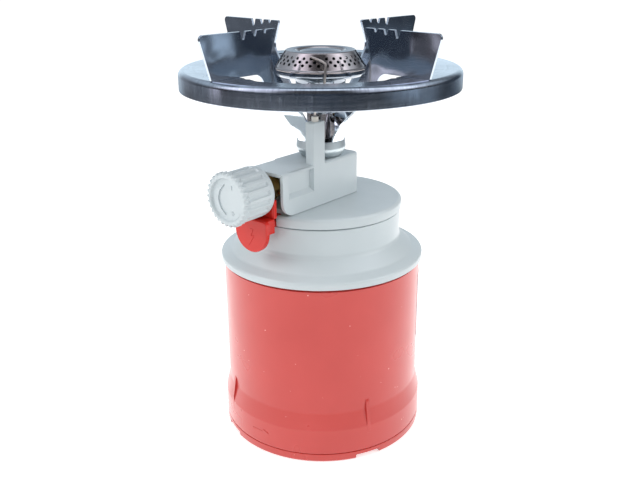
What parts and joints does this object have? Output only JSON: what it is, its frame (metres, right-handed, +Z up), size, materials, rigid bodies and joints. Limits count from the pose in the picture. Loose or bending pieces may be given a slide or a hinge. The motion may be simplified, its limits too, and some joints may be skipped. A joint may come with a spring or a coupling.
{
  "type": "single burner camping stove",
  "caption": "Camping stove on a round butane cartridge: red holder tube, white collar and valve housing, knob, ignition button, perforated burner and a ring with blade pan supports.",
  "frame": {"origin": "centre of the base's underside, on the axis of the tube, at the height of what the stove stands on", "axes": "+Z up along the tube's axis; the knob points between -X and -Y, 50.7 degrees past -X"},
  "size_m": [0.1292, 0.1292, 0.198],
  "materials": {
    "red_plastic": "glossy moulded red plastic",
    "white_plastic": "satin moulded white plastic, slightly cool",
    "tinplate": "bare tinplate",
    "seal_rubber": "black moulded rubber",
    "label_paper": "plain coated white label",
    "zinc_steel": "zinc plated pressed steel",
    "brass": "turned brass, slightly dull",
    "needle_steel": "hard steel",
    "piezo_black": "matt black plastic",
    "piezo_white": "natural plastic",
    "lead_sleeve": "pale silicone sleeve",
    "insulator_ceramic": "glazed white ceramic",
    "electrode_steel": "heat resistant wire, dull",
    "arm_chrome": "bright chrome plate on stamped steel",
    "ring_chrome": "bright plate on pressed steel, faintly brushed",
    "burner_steel": "pressed stainless steel, faintly warm"
  },
  "bodies": {
    "base": {"base_plate": "red_plastic", "gas_cartridge": "tinplate"},
    "seal": {"cartridge_seal": "seal_rubber"},
    "stove": {"cartridge_holder": "red_plastic", "collar": "white_plastic", "top_cover": "white_plastic", "valve_housing": "white_plastic", "blank_label": "label_paper", "support_plate": "zinc_steel", "clamp_nut": "zinc_steel", "cover_screw_1": "zinc_steel", "cover_screw_2": "zinc_steel", "cover_screw_3": "zinc_steel", "valve_body": "brass", "gas_jet": "brass", "gland_nut": "brass", "piercing_needle": "needle_steel", "piezo_spring": "needle_steel", "piezo_unit": "piezo_black", "ignition_lead": "lead_sleeve", "electrode_insulator": "insulator_ceramic", "electrode_wire": "electrode_steel", "support_cup": "arm_chrome", "pan_arm_front_left": "arm_chrome", "pan_arm_front_right": "arm_chrome", "pan_arm_back_left": "arm_chrome", "pan_arm_back_right": "arm_chrome", "pan_ring": "ring_chrome", "burner_tube": "burner_steel", "burner_head": "burner_steel", "burner_cap": "burner_steel", "burner_disc": "burner_steel", "disc_rivet": "burner_steel"},
    "spindle_seal": {"spindle_o_ring": "seal_rubber"},
    "knob": {"valve_spindle": "brass", "control_knob": "white_plastic"},
    "button": {"ignition_button": "red_plastic", "piezo_plunger": "piezo_white"}
  },
  "joints": [
    {"name": "lift_off", "type": "slide", "parent": "base", "child": "seal", "axis": [0, 0, 1], "range_m": [0, 0.1]},
    {"name": "base_twist", "type": "hinge", "parent": "seal", "child": "stove", "pos_m": [0, 0, 0], "axis": [0, 0, 1], "range_deg": [-35, 0]},
    {"name": "spindle_rise", "type": "slide", "parent": "stove", "child": "spindle_seal", "axis": [-0.6334, -0.7738, 0], "range_m": [0, 0.00105]},
    {"name": "knob_turn", "type": "hinge", "parent": "spindle_seal", "child": "knob", "pos_m": [0, 0, 0.1305], "axis": [-0.6334, -0.7738, 0], "range_deg": [0, 540]},
    {"name": "ignition_press", "type": "slide", "parent": "stove", "child": "button", "axis": [0.6334, 0.7738, 0], "range_m": [0, 0.0035], "stiffness_N_per_m": 2000, "springref_m": -0.0015, "deforming": ["piezo_spring"]}
  ],
  "couplings": [
    {"joint": "knob_turn", "follows": "spindle_rise", "rad_per_m": 8976}
  ]
}
